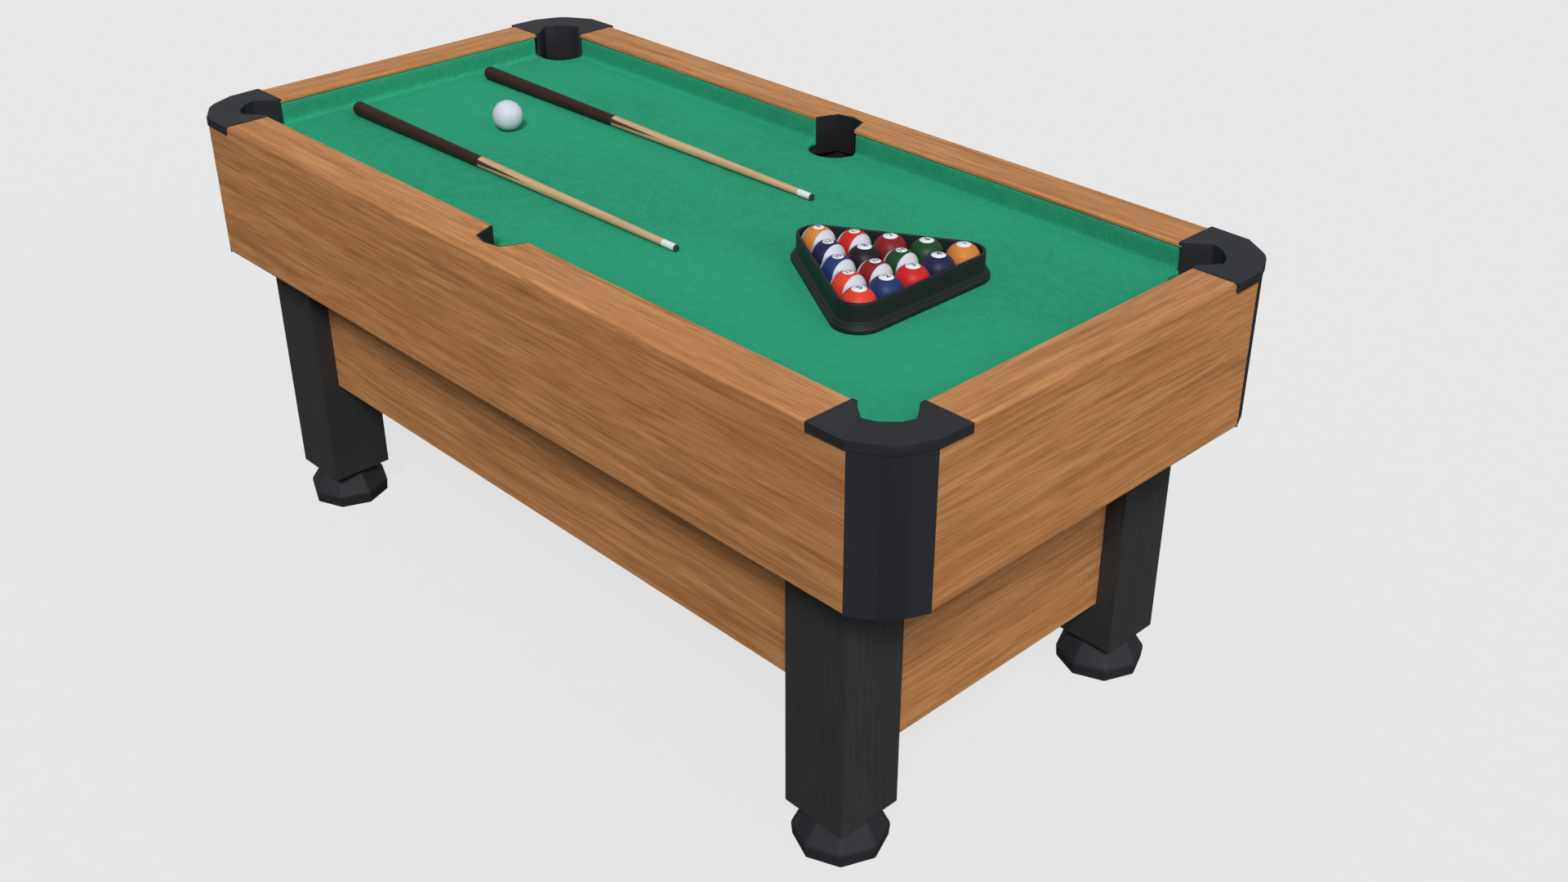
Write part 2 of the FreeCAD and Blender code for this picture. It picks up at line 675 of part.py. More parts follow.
def cue_pieces(side):
    """Butt, shaft, ferrule and tip of one cue, lying on the cloth."""
    start = {"butt": 0.0, "shaft": CUE_BUTT, "ferrule": CUE_SHAFT_END, "tip": CUE_FERRULE_END}
    stop = {"butt": CUE_BUTT, "shaft": CUE_SHAFT_END, "ferrule": CUE_FERRULE_END, "tip": CUE_LENGTH}
    droop = degrees(atan((CUE_THICK - CUE_THIN) / CUE_LENGTH))
    along = FreeCAD.Vector(1, 0, 0)
    pieces = {}
    for name in start:
        a = start[name]
        b = stop[name]
        piece = Part.makeCone(cue_radius(a), cue_radius(b), b - a, FreeCAD.Vector(a, 0, 0), along)
        if name == "butt":
            end = [e for e in piece.Edges if near(e.CenterOfMass.x, 0)]
            piece = piece.makeFillet(CUE_END_ROUND, end)
        if name == "tip":
            end = [e for e in piece.Edges if near(e.CenterOfMass.x, CUE_LENGTH)]
            piece = piece.makeFillet(TIP_ROUND, end)
        piece.rotate(ORIGIN, FreeCAD.Vector(0, 1, 0), droop)
        piece.rotate(ORIGIN, UP, CUE_TURN)
        x, y = CUE_BUTTS[side]
        piece.translate(FreeCAD.Vector(x, y, FELT + LAY + CUE_THICK))
        pieces[name] = piece
    return pieces


def main():
    os.makedirs("parts", exist_ok=True)
    for side, y_sign in SIDES.items():
        export("side_apron_" + side, apron(y_sign, True))
        export("side_rail_" + side, side_rail(y_sign))
        export("side_pocket_liner_" + side, side_liner(y_sign))
        export("side_skirt_" + side, side_skirt(y_sign))
        for name, shape in cue_pieces(side).items():
            export("cue_" + side + "_" + name, shape)
    for end, x_sign in ENDS.items():
        export("end_apron_" + end, apron(x_sign, False))
        export("end_rail_" + end, end_rail(x_sign))
        export("end_skirt_" + end, end_skirt(x_sign))
    casting = corner_casting()
    for side, y_sign in SIDES.items():
        for end, x_sign in ENDS.items():
            corner = side + "_" + end
            export("corner_casting_" + corner, moved_to_side(casting, x_sign, y_sign))
            export("leg_" + corner, leg(x_sign, y_sign))
            export("leveling_foot_" + corner, leveling_foot(x_sign, y_sign))
    export("side_cushions", side_cushions())
    export("end_cushions", end_cushions())
    export("bed_board", bed_board())
    export("bed_cloth", bed_cloth())
    export("bed_cleats", bed_cleats())
    export("cabinet_floor", cabinet_floor())
    export("pocket_cups", pocket_cups())
    export("leg_brackets", leg_brackets())
    export("screws", screws())
    export("rack", rack())
    export("cue_ball", ball(CUE_BALL_X, CUE_BALL_Y))
    for number, (x, y) in zip(RACK_ORDER, rack_spots()):
        export("ball_%02d" % number, ball(x, y))


main()
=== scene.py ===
from math import atan2, cos, pi, radians, sin

import bmesh
import bpy
from mathutils import Matrix, Vector
from mathutils.geometry import delaunay_2d_cdt


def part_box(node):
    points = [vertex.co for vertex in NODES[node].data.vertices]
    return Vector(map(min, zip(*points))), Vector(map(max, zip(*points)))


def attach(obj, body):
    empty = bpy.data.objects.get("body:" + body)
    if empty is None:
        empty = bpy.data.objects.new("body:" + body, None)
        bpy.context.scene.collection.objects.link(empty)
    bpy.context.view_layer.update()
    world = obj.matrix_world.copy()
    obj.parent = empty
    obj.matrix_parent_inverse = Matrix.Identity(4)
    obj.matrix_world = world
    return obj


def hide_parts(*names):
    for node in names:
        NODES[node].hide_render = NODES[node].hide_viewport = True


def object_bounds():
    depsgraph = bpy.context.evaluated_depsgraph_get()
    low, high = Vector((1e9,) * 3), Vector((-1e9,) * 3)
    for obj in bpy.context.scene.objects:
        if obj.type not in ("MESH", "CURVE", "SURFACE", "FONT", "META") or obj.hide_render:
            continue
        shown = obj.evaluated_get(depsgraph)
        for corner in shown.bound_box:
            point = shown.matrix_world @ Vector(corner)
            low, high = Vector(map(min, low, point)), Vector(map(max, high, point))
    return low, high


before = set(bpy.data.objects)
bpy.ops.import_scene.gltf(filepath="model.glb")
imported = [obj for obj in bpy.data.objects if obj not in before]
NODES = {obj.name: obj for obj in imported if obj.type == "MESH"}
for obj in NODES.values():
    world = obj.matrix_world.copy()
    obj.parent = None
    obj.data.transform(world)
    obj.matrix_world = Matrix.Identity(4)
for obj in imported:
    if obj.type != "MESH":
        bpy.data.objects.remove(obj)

# Mini pool table: looks. Metres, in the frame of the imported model. +X runs along the
# table, -Y is its front long side, +Z is up.

CAD_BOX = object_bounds()
SIDES = ("front", "back")
ENDS = ("left", "right")
CORNERS = [side + "_" + end for side in SIDES for end in ENDS]
SCENE = bpy.context.scene
SCENE.view_settings.view_transform = "Standard"


# Shader building blocks


def put(tree, kind, inputs=None, **settings):
    """A new shader node. An input is given a value, or linked when it is another node's output."""
    made = tree.nodes.new("ShaderNode" + kind)
    for key, value in settings.items():
        setattr(made, key, value)
    for key, value in (inputs or {}).items():
        if isinstance(value, bpy.types.NodeSocket):
            tree.links.new(value, made.inputs[key])
        else:
            made.inputs[key].default_value = value
    return made


def compute(tree, operation, a, b=0.0):
    return put(tree, "Math", {0: a, 1: b}, operation=operation).outputs[0]


def blend(tree, factor, a, b):
    """Mixes two colours, each an output or an (r, g, b)."""
    mixer = put(tree, "Mix", {0: factor}, data_type="RGBA")
    for index, colour in ((6, a), (7, b)):
        if isinstance(colour, bpy.types.NodeSocket):
            tree.links.new(colour, mixer.inputs[index])
        else:
            mixer.inputs[index].default_value = (*colour, 1.0)
    return mixer.outputs[2]


def between(tree, value, low, high, to_low=0.0, to_high=1.0):
    """Maps value from low..high to to_low..to_high, held at both ends."""
    inputs = {"Value": value, "From Min": low, "From Max": high}
    inputs.update({"To Min": to_low, "To Max": to_high})
    return put(tree, "MapRange", inputs).outputs[0]


def place(tree, scale=(1.0, 1.0, 1.0), shift=(0.0, 0.0, 0.0)):
    """Object coordinates, in metres, shifted and then scaled."""
    here = put(tree, "TexCoord").outputs["Object"]
    moved = put(tree, "VectorMath", {0: here, 1: shift}, operation="ADD").outputs[0]
    return put(tree, "VectorMath", {0: moved, 1: scale}, operation="MULTIPLY").outputs[0]


def noise(tree, where, scale=1.0, detail=3.0, roughness=0.5, distortion=0.0):
    inputs = {"Vector": where, "Scale": scale, "Detail": detail}
    inputs.update({"Roughness": roughness, "Distortion": distortion})
    return put(tree, "TexNoise", inputs).outputs["Fac"]


def bump(tree, height, depth, strength, under=None):
    inputs = {"Height": height, "Distance": depth, "Strength": strength}
    if under is not None:
        inputs["Normal"] = under
    return put(tree, "Bump", inputs).outputs[0]


def scaled(colour, factor):
    return tuple(c * factor for c in colour)


def new_material(name, colour):
    """A node material with one Principled shader. Gives the material, its tree and the shader."""
    made = bpy.data.materials.new(name)
    made.use_nodes = True
    made.diffuse_color = (*colour, 1.0)
    tree = made.node_tree
    tree.nodes.clear()
    shader = put(tree, "BsdfPrincipled", {"Base Color": (*colour, 1.0)})
    output = put(tree, "OutputMaterial")
    tree.links.new(shader.outputs[0], output.inputs[0])
    return made, tree, shader


def drive(tree, shader, **settings):
    """Sets or links the shader's inputs. Keys have underscores where their names have spaces."""
    for key, value in settings.items():
        entry = shader.inputs[key.replace("_", " ")]
        if isinstance(value, bpy.types.NodeSocket):
            tree.links.new(value, entry)
        else:
            entry.default_value = value


# Materials


def wood(name, along, seed):
    """Wood-print laminate with its grain along one axis."""
    made, tree, shader = new_material(name, (0.43, 0.19, 0.075))
    shift = (0.37 * seed, 0.91 * seed, 0.53 * seed)

    def grain(length, width):
        """Object coordinates stretched so that a feature is so long and so wide, in metres."""
        scale = [1.0 / width] * 3
        scale["XYZ".index(along)] = 1.0 / length
        return place(tree, scale, shift)

    clouds = noise(tree, grain(0.50, 0.055), detail=2.0)
    bands = noise(tree, grain(0.30, 0.013), detail=3.0, roughness=0.55, distortion=0.5)
    streaks = noise(tree, grain(0.14, 0.0062), detail=3.0, roughness=0.55, distortion=0.35)
    dashes = noise(tree, grain(0.055, 0.0032), detail=2.0, distortion=0.25)
    fibres = noise(tree, grain(0.030, 0.0009), detail=2.0)
    pale = (0.545, 0.262, 0.106)
    mid = (0.420, 0.184, 0.067)
    dark = (0.252, 0.098, 0.032)
    reddish = (0.46, 0.182, 0.060)
    pore = (0.24, 0.090, 0.027)
    colour = blend(tree, between(tree, streaks, 0.36, 0.62), mid, pale)
    colour = blend(tree, between(tree, bands, 0.48, 0.68, 0.0, 0.50), colour, dark)
    colour = blend(tree, between(tree, dashes, 0.50, 0.70, 0.0, 0.56), colour, dark)
    colour = blend(tree, between(tree, clouds, 0.45, 0.70, 0.0, 0.24), colour, reddish)
    colour = blend(tree, between(tree, fibres, 0.52, 0.78, 0.0, 0.28), colour, pore)
    drive(
        tree,
        shader,
        Base_Color=colour,
        Roughness=between(tree, fibres, 0.3, 0.8, 0.46, 0.62),
        Normal=bump(tree, fibres, 0.00008, 0.45),
        Specular_IOR_Level=0.12,
    )
    return made


def dark_laminate(name, seed):
    """The legs' dark foil, with a very faint upright grain."""
    base = (0.0245, 0.0252, 0.0266)
    made, tree, shader = new_material(name, base)
    shift = (0.7 * seed, 0.3 * seed, 0.9 * seed)
    streaks = noise(tree, place(tree, (420.0, 420.0, 14.0), shift), detail=4.0, roughness=0.65)
    mottle = noise(tree, place(tree, (18.0, 18.0, 7.0), shift), detail=2.0)
    specks = noise(tree, place(tree, (1600.0, 1600.0, 500.0), shift), detail=1.0)
    pale = (0.0340, 0.0348, 0.0362)
    dark = (0.0200, 0.0206, 0.0220)
    colour = blend(tree, between(tree, streaks, 0.35, 0.70), base, pale)
    colour = blend(tree, between(tree, mottle, 0.4, 0.7, 0.0, 0.35), colour, dark)
    height = compute(tree, "ADD", streaks, compute(tree, "MULTIPLY", specks, 0.5))
    drive(
        tree,
        shader,
        Base_Color=colour,
        Roughness=between(tree, streaks, 0.3, 0.7, 0.50, 0.62),
        Normal=bump(tree, height, 0.00008, 0.45),
        Specular_IOR_Level=0.36,
    )
    return made


def moulded_plastic(name, base, roughness, seed, gloss=0.16):
    """Satin moulded plastic with a fine pebbled grain, faint flow marks and light scuffs."""
    made, tree, shader = new_material(name, base)
    shift = (0.41 * seed, 0.17 * seed, 0.77 * seed)
    pebble = put(
        tree,
        "TexVoronoi",
        {"Vector": place(tree, shift=shift), "Scale": 950.0, "Smoothness": 0.6},
        feature="SMOOTH_F1",
    ).outputs["Distance"]
    flow = noise(tree, place(tree, (9.0, 9.0, 5.0), shift), detail=3.0)
    upright = place(tree, (60.0, 60.0, 600.0), shift)
    scuffs = noise(tree, upright, detail=5.0, roughness=0.7, distortion=1.2)
    scuff = between(tree, scuffs, 0.64, 0.74)
    lighter = tuple(c * 1.35 + 0.003 for c in base)
    darker = scaled(base, 0.78)
    colour = blend(tree, between(tree, flow, 0.35, 0.70, 0.0, 0.6), base, darker)
    colour = blend(tree, compute(tree, "MULTIPLY", scuff, 0.3), colour, lighter)
    rough = between(tree, flow, 0.3, 0.7, roughness - 0.05, roughness + 0.06)
    rough = compute(tree, "ADD", rough, compute(tree, "MULTIPLY", scuff, 0.10))
    drive(
        tree,
        shader,
        Base_Color=colour,
        Roughness=rough,
        Normal=bump(tree, pebble, 0.00006, 0.35),
        Specular_IOR_Level=gloss,
    )
    return made


def felt(name, base, seed):
    """Short napped billiard cloth: fibre clumps, a soft mottle and broad brushed patches."""
    made, tree, shader = new_material(name, base)
    shift = (0.23 * seed, 0.61 * seed, 0.11 * seed)
    where = place(tree, shift=shift)
    clumps = noise(tree, where, 400.0, 4.0, 0.75, 0.4)
    fibres = noise(tree, where, 1500.0, 2.0, 0.6, 0.8)
    mottle = noise(tree, where, 60.0, 3.0, 0.6)
    patches = noise(tree, place(tree, (2.2, 5.0, 5.0), shift), 1.0, 3.0, 0.55)
    deep = scaled(base, 0.76)
    light = scaled(base, 1.19)
    coarse = compute(tree, "MULTIPLY", clumps, 0.75)
    fine = compute(tree, "MULTIPLY", fibres, 0.25)
    tone = compute(tree, "ADD", coarse, fine)
    colour = blend(tree, between(tree, tone, 0.38, 0.62), deep, light)
    colour = blend(tree, between(tree, mottle, 0.42, 0.62, 0.0, 0.36), colour, deep)
    colour = blend(tree, between(tree, patches, 0.42, 0.64, 0.0, 0.50), colour, light)
    under = bump(tree, clumps, 0.0003, 0.5)
    drive(
        tree,
        shader,
        Base_Color=colour,
        Normal=bump(tree, fibres, 0.00016, 0.5, under),
        Roughness=0.95,
        Specular_IOR_Level=0.05,
        Sheen_Weight=0.05,
        Sheen_Roughness=0.45,
        Sheen_Tint=(0.10, 0.90, 0.50, 1.0),
    )
    return made


def fibreboard(name, shade_painted_holes=()):
    """Raw board, with painted shade in black inside the pocket holes, each an (x, y, radius)."""
    base = (0.40, 0.27, 0.16)
    made, tree, shader = new_material(name, base)
    where = place(tree)
    chips = noise(tree, where, 380.0, 4.0, 0.65)
    clouds = noise(tree, where, 12.0, 2.0)
    colour = blend(tree, between(tree, chips, 0.38, 0.66), (0.30, 0.19, 0.105), base)
    colour = blend(tree, between(tree, clouds, 0.4, 0.7, 0.0, 0.3), colour, (0.47, 0.33, 0.20))
    if shade_painted_holes:
        x, y = put(tree, "SeparateXYZ", {0: where}).outputs[:2]
        in_plan = put(tree, "CombineXYZ", {0: x, 1: y}).outputs[0]
        edge = 1.0
        for hole_x, hole_y, radius in shade_painted_holes:
            points = {0: in_plan, 1: (hole_x, hole_y, 0.0)}
            away = put(tree, "VectorMath", points, operation="DISTANCE").outputs["Value"]
            past = compute(tree, "SUBTRACT", away, radius)
            edge = compute(tree, "MINIMUM", edge, past)
        # Painted shade: black on the holes' walls and a thin rim round them, for the dark down the
        # pockets.
        colour = blend(tree, between(tree, edge, 0.0012, 0.0004), colour, (0.012, 0.012, 0.014))
    normal = bump(tree, chips, 0.0002, 0.5)
    drive(tree, shader, Base_Color=colour, Normal=normal, Roughness=0.85)
    return made


def zinc_steel(name):
    """Zinc-plated steel with a faint brushed grain."""
    base = (0.55, 0.55, 0.56)
    made, tree, shader = new_material(name, base)
    where = place(tree)
    spangle = noise(tree, where, 240.0, 3.0, 0.6)
    brush = noise(tree, place(tree, (90.0, 1500.0, 1500.0)), detail=3.0)
    colour = blend(tree, between(tree, spangle, 0.4, 0.65), base, (0.42, 0.43, 0.45))
    drive(
        tree,
        shader,
        Base_Color=colour,
        Roughness=between(tree, brush, 0.3, 0.7, 0.28, 0.46),
        Normal=bump(tree, brush, 0.00004, 0.5),
        Metallic=1.0,
    )
    return made


BALL_WHITE = (0.54, 0.58, 0.65)
STRIPE_WHITE = (0.50, 0.53, 0.60)
BALL_COLOURS = {
    1: (0.520, 0.190, 0.033),
    2: (0.015, 0.031, 0.118),
    3: (0.490, 0.0155, 0.0150),
    4: (0.0165, 0.0140, 0.0620),
    5: (0.600, 0.044, 0.024),
    6: (0.0120, 0.052, 0.0215),
    7: (0.190, 0.0115, 0.0145),
    8: (0.0110, 0.0115, 0.0140),
}
DISC_WHITE = (0.66, 0.69, 0.73)
LAST_SOLID = 8  # the balls after it are striped
# Marks on a ball, over its radius
STRIPE = 0.45  # half of a stripe's width
SOLID_DISC = 0.41  # radius of a number's disc
STRIPE_DISC = 0.31
STRIPE_EDGE = 0.012  # half of a stripe's soft edge
DISC_EDGE = 0.010


def ball_resin(name, centre, radius, number):
    """Polished resin: plain, or striped about the X axis, with discs at the top and the foot."""
    colour = BALL_WHITE if number is None else BALL_COLOURS[(number - 1) % LAST_SOLID + 1]
    made, tree, shader = new_material(name, colour)
    shift = tuple(-c for c in centre)
    where = place(tree, (1.0 / radius,) * 3, shift)
    cloud = noise(tree, place(tree, shift=shift), 70.0, 3.0)
    handling = noise(tree, place(tree, shift=shift), 700.0, 3.0, 0.7)
    shade = scaled(colour, 0.86)
    resin = blend(tree, between(tree, cloud, 0.4, 0.7, 0.0, 0.5), colour, shade)
    if number is not None:
        striped = number > LAST_SOLID
        x, y = put(tree, "SeparateXYZ", {0: where}).outputs[:2]
        if striped:
            off_centre = compute(tree, "ABSOLUTE", x)
            off_band = between(tree, off_centre, STRIPE - STRIPE_EDGE, STRIPE + STRIPE_EDGE)
            resin = blend(tree, off_band, resin, STRIPE_WHITE)
        across = put(tree, "CombineXYZ", {0: x, 1: y}).outputs[0]
        reach = put(tree, "VectorMath", {0: across}, operation="LENGTH").outputs["Value"]
        disc = STRIPE_DISC if striped else SOLID_DISC
        on_disc = between(tree, reach, disc + DISC_EDGE, disc - DISC_EDGE)
        resin = blend(tree, on_disc, resin, DISC_WHITE)
    drive(
        tree,
        shader,
        Base_Color=resin,
        Roughness=between(tree, handling, 0.35, 0.75, 0.40, 0.52),
        Normal=bump(tree, handling, 0.00001, 0.4),
        Specular_IOR_Level=0.17,
    )
    return made


def number_ink(name):
    """The near-black of the balls' numbers."""
    made, tree, shader = new_material(name, (0.012, 0.014, 0.022))
    grain = noise(tree, place(tree), 2500.0, 2.0)
    worn = between(tree, grain, 0.4, 0.7)
    colour = blend(tree, worn, (0.010, 0.012, 0.020), (0.022, 0.025, 0.034))
    drive(tree, shader, Base_Color=colour, Roughness=0.4)
    return made


def cue_place(tree, axis):
    """Coordinates along a cue, in metres from the butt's end, and across it."""
    start, direction = axis
    turn = atan2(direction.y, direction.x)
    here = place(tree, shift=tuple(-c for c in start))
    turned = put(tree, "VectorRotate", {"Vector": here, "Angle": -turn}, rotation_type="Z_AXIS")
    return turned.outputs[0]


def stretch(tree, where, scale):
    """Coordinates multiplied axis by axis."""
    return put(tree, "VectorMath", {0: where, 1: scale}, operation="MULTIPLY").outputs[0]


def butt_wood(name, axis):
    """The butt's dark stained wood."""
    base = (0.0245, 0.0108, 0.0086)
    made, tree, shader = new_material(name, base)
    stretched = stretch(tree, cue_place(tree, axis), (9.0, 260.0, 260.0))
    grain = noise(tree, stretched, 1.0, 4.0, 0.6, 0.3)
    fine = noise(tree, stretched, 5.0, 2.0)
    colour = blend(tree, between(tree, grain, 0.38, 0.68), base, (0.042, 0.0185, 0.0143))
    colour = blend(tree, between(tree, fine, 0.6, 0.75, 0.0, 0.5), colour, (0.018, 0.008, 0.007))
    drive(
        tree,
        shader,
        Base_Color=colour,
        Normal=bump(tree, grain, 0.00005, 0.4),
        Roughness=0.42,
        Specular_IOR_Level=0.14,
    )
    return made


SPLICE = 0.104  # length of the dark points that run into the shaft
# In degrees round the shaft
SPLICE_HALF = 22.0  # half of a point's width at its base
SPLICE_TIP = -1.5  # the same at its tip, where it has run out
SPLICE_EDGE = 1.0  # half of its soft edge
SPLICE_TURN = 160.5  # where one of the three points lies
SPLICE_SPACING = 60.0  # half of the angle from one point to the next
CUE_TAPER = 0.00804  # fall of the cue's middle line along its length


def shaft_wood(name, axis, joint):
    """Pale maple with three long dark points spliced in at the joint."""
    base = (0.46, 0.29, 0.145)
    made, tree, shader = new_material(name, base)
    where = cue_place(tree, axis)
    stretched = stretch(tree, where, (7.0, 210.0, 210.0))
    grain = noise(tree, stretched, 1.0, 4.0, 0.6, 0.3)
    fleck = noise(tree, stretched, 4.0, 2.0)
    colour = blend(tree, between(tree, grain, 0.36, 0.68), base, (0.56, 0.375, 0.205))
    colour = blend(tree, between(tree, fleck, 0.58, 0.74, 0.0, 0.45), colour, (0.33, 0.185, 0.082))
    x, y, z = put(tree, "SeparateXYZ", {0: where}).outputs
    height = compute(tree, "ADD", z, compute(tree, "MULTIPLY", x, CUE_TAPER))
    round_cue = compute(tree, "ARCTAN2", height, y)
    from_point = compute(tree, "SUBTRACT", round_cue, radians(SPLICE_TURN))
    off_point = compute(tree, "PINGPONG", from_point, radians(SPLICE_SPACING))
    base_half, tip_half = radians(SPLICE_HALF), radians(SPLICE_TIP)
    remains = between(tree, x, joint, joint + SPLICE, base_half, tip_half)
    inside = compute(tree, "SUBTRACT", remains, off_point)
    dark = between(tree, inside, -radians(SPLICE_EDGE), radians(SPLICE_EDGE))
    colour = blend(tree, dark, colour, (0.045, 0.018, 0.013))
    drive(
        tree,
        shader,
        Base_Color=colour,
        Normal=bump(tree, grain, 0.00004, 0.35),
        Roughness=0.38,
        Coat_Weight=0.25,
        Coat_Roughness=0.2,
    )
    return made


def plain_speckled(name, base, roughness, scale=900.0, spread=0.82):
    """A plain material with fine specks, which are darker by the spread."""
    made, tree, shader = new_material(name, base)
    grain = noise(tree, place(tree), scale, 3.0, 0.6)
    darker = scaled(base, spread)
    colour = blend(tree, between(tree, grain, 0.4, 0.68), base, darker)
    normal = bump(tree, grain, 0.00005, 0.4)
    drive(tree, shader, Base_Color=colour, Normal=normal, Roughness=roughness)
    return made


# Geometry helpers


def new_object(name, mesh, material, smooth=True):
    made = bpy.data.objects.new(name, mesh)
    SCENE.collection.objects.link(made)
    mesh.materials.append(material)
    if smooth:
        mesh.polygons.foreach_set("use_smooth", [True] * len(mesh.polygons))
    return made


def finished(name, bm, material):
    """The bmesh as a smooth object, with its normals outwards."""
    bmesh.ops.recalc_face_normals(bm, faces=bm.faces)
    mesh = bpy.data.meshes.new(name)
    bm.to_mesh(mesh)
    bm.free()
    return new_object(name, mesh, material)


def skin(name, rings, material, closed=False):
    """Quads between rings of points. The first and last ring are capped, or joined when closed."""
    bm = bmesh.new()
    rows = [[bm.verts.new(point) for point in ring] for ring in rings]
    pairs = list(zip(rows, rows[1:])) + ([(rows[-1], rows[0])] if closed else [])
    for low, high in pairs:
        for i in range(len(low)):
            j = (i + 1) % len(low)
            bm.faces.new((low[i], low[j], high[j], high[i]))
    if not closed:
        bm.faces.new(rows[0][::-1])
        bm.faces.new(rows[-1])
    return finished(name, bm, material)


def paint(node, material):
    """Gives a CAD node its material in every slot."""
    shown = NODES[node]
    if not shown.material_slots:
        shown.data.materials.append(material)
    for slot in shown.material_slots:
        slot.link = "OBJECT"
        slot.material = material


WELD = 0.00001
FLAT_ANGLE = 0.5  # degrees: faces that turn less than this are joined
SHARP_ANGLE = 25.0  # degrees: edges that turn more than this are rounded


def soften(node, width, segments=2, flat_faces=True):
    """Small rounded edges on a CAD node, whose faces stay flat or shade into each other."""
    shown = NODES[node]
    weld = shown.modifiers.new("weld", "WELD")
    weld.merge_threshold = WELD
    flat = shown.modifiers.new("flat", "DECIMATE")
    flat.decimate_type = "DISSOLVE"
    flat.angle_limit = radians(FLAT_ANGLE)
    bevel = shown.modifiers.new("edges", "BEVEL")
    bevel.width = width
    bevel.segments = segments
    bevel.limit_method = "ANGLE"
    bevel.angle_limit = radians(SHARP_ANGLE)
    bevel.harden_normals = flat_faces


# Places of the CAD, from the frame

HALF_X = CAD_BOX[1].x
HALF_Y = CAD_BOX[1].y
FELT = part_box("bed_cloth")[1].z
SIDE_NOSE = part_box("side_rail_back")[0].y  # inner edges of the rails
END_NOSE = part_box("end_rail_right")[0].x
CORNER_POCKET = 0.0692  # a corner pocket's centre from the end and side planes
POCKET = 0.0315  # radius of a corner pocket's fall hole
SIDE_POCKET = 0.0335
BALL = 0.01905  # radius


def node_centre(node):
    low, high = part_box(node)
    return (low + high) / 2


def pockets():
    """Centre and radius of each fall hole."""
    found = []
    for y_sign in (-1, 1):
        found.append((0.0, y_sign * SIDE_NOSE, SIDE_POCKET))
        for x_sign in (-1, 1):
            x = x_sign * (HALF_X - CORNER_POCKET)
            y = y_sign * (HALF_Y - CORNER_POCKET)
            found.append((x, y, POCKET))
    return found


# Soft pieces

BED_FELT = (0.0240, 0.284, 0.156)
# Painted shade: the side cushions use the bed's cloth made a little darker, for the shade on their
# walls.
SIDE_FELT_SHADED = (0.0222, 0.268, 0.150)
CLOTH_THICK = 0.0009
CLOTH_CUT = 0.044  # how much of each of its corners is cut off, under the castings
ROLL = 0.0020  # radius of the cloth's edge where it turns down into a pocket
HEM = 0.0040  # how far it then hangs
HOLE_GAP = 0.0003  # between the cloth and the fall hole in the board
HOLE_POINTS = 72
HOLE_RINGS = (0.0, 0.12, 0.35, 0.65, 1.0)  # rings of points across the rolled edge, over ROLL
GRID = 0.022  # spacing of the points inside the cloth
GRID_REACH = (25, 12)  # rows of them each way from the middle
GRID_CLEAR = 0.004  # from the rolled edge to the nearest point inside
ON_RIM = 0.00005  # how near to a hole's radius an edge of its rim lies
# Gaps in the cloth that clear the castings and the side liners, each half of an even outline.
# Measured from the pocket's centre: a corner's towards the bed's middle, a side's outwards.
CORNER_GAP = [(0.0288, -0.0112), (0.0038, -0.0302), (-0.0102, -0.0247)]
CORNER_GAP_SCALE = 1.12
SIDE_GAP = [(0.0345, 0.0001), (0.0228, 0.0293)]
SIDE_GAP_TIP = (0.0, 0.0345)


def winding(x, y, pieces):
    """How many times the straight pieces of closed outlines go round a point."""
    turns = 0
    for (x0, y0), (x1, y1) in pieces:
        if (y0 > y) != (y1 > y) and x < (x1 - x0) * (y - y0) / (y1 - y0) + x0:
            turns += 1 if y1 > y0 else -1
    return turns


def in_polygon(x, y, outline):
    return winding(x, y, zip(outline, outline[1:] + outline[:1])) != 0


def cloth_outline(high):
    """The cloth's outer edge in plan, a rectangle with cut corners."""
    outline = []
    for x_sign, y_sign in ((1, 1), (-1, 1), (-1, -1), (1, -1)):
        on_end = (x_sign * high.x, y_sign * (high.y - CLOTH_CUT))
        on_side = (x_sign * (high.x - CLOTH_CUT), y_sign * high.y)
        outline += [on_end, on_side] if x_sign * y_sign > 0 else [on_side, on_end]
    return outline


def cloth_gap(x, y):
    """The outline of the gap in the cloth at the pocket whose centre is (x, y)."""
    sx, sy = (1 if x > 0 else -1), (1 if y > 0 else -1)
    if x == 0.0:
        shape = SIDE_GAP + [SIDE_GAP_TIP] + [(-u, v) for u, v in reversed(SIDE_GAP)]
        return [(u, y + sy * v) for u, v in shape]
    shape = CORNER_GAP + [(v, u) for u, v in reversed(CORNER_GAP)]
    return [(x - sx * u * CORNER_GAP_SCALE, y - sy * v * CORNER_GAP_SCALE) for u, v in shape]


def add_loop(points, edges, loop):
    """Adds a closed loop of points, and the edges between them."""
    first = len(points)
    points += loop
    edges += [(first + i, first + (i + 1) % len(loop)) for i in range(len(loop))]


def hole_ring(centre, radius, turned):
    """Points round a hole, turned by a share of the angle between them."""
    turns = [2 * pi * (i + turned) / HOLE_POINTS for i in range(HOLE_POINTS)]
    return [centre + Vector((cos(turn), sin(turn))) * radius for turn in turns]


def roll_drop(point, holes):
    """How far the cloth has turned down at a point near a hole."""
    drop = 0.0
    for centre, radius in holes:
        past = (point - centre).length - radius
        if past < ROLL:
            left = ROLL - max(0.0, past)
            drop = max(drop, ROLL - (max(0.0, ROLL**2 - left**2)) ** 0.5)
    return drop


def on_rim(edge, holes):
    """Whether an edge of the cloth's mesh lies on the rim of a hole."""
    ends = [Vector(v.co.xy) for v in edge.verts]
    return edge.is_boundary and any(
        all(abs((end - centre).length - radius) < ON_RIM for end in ends)
        for centre, radius in holes
    )


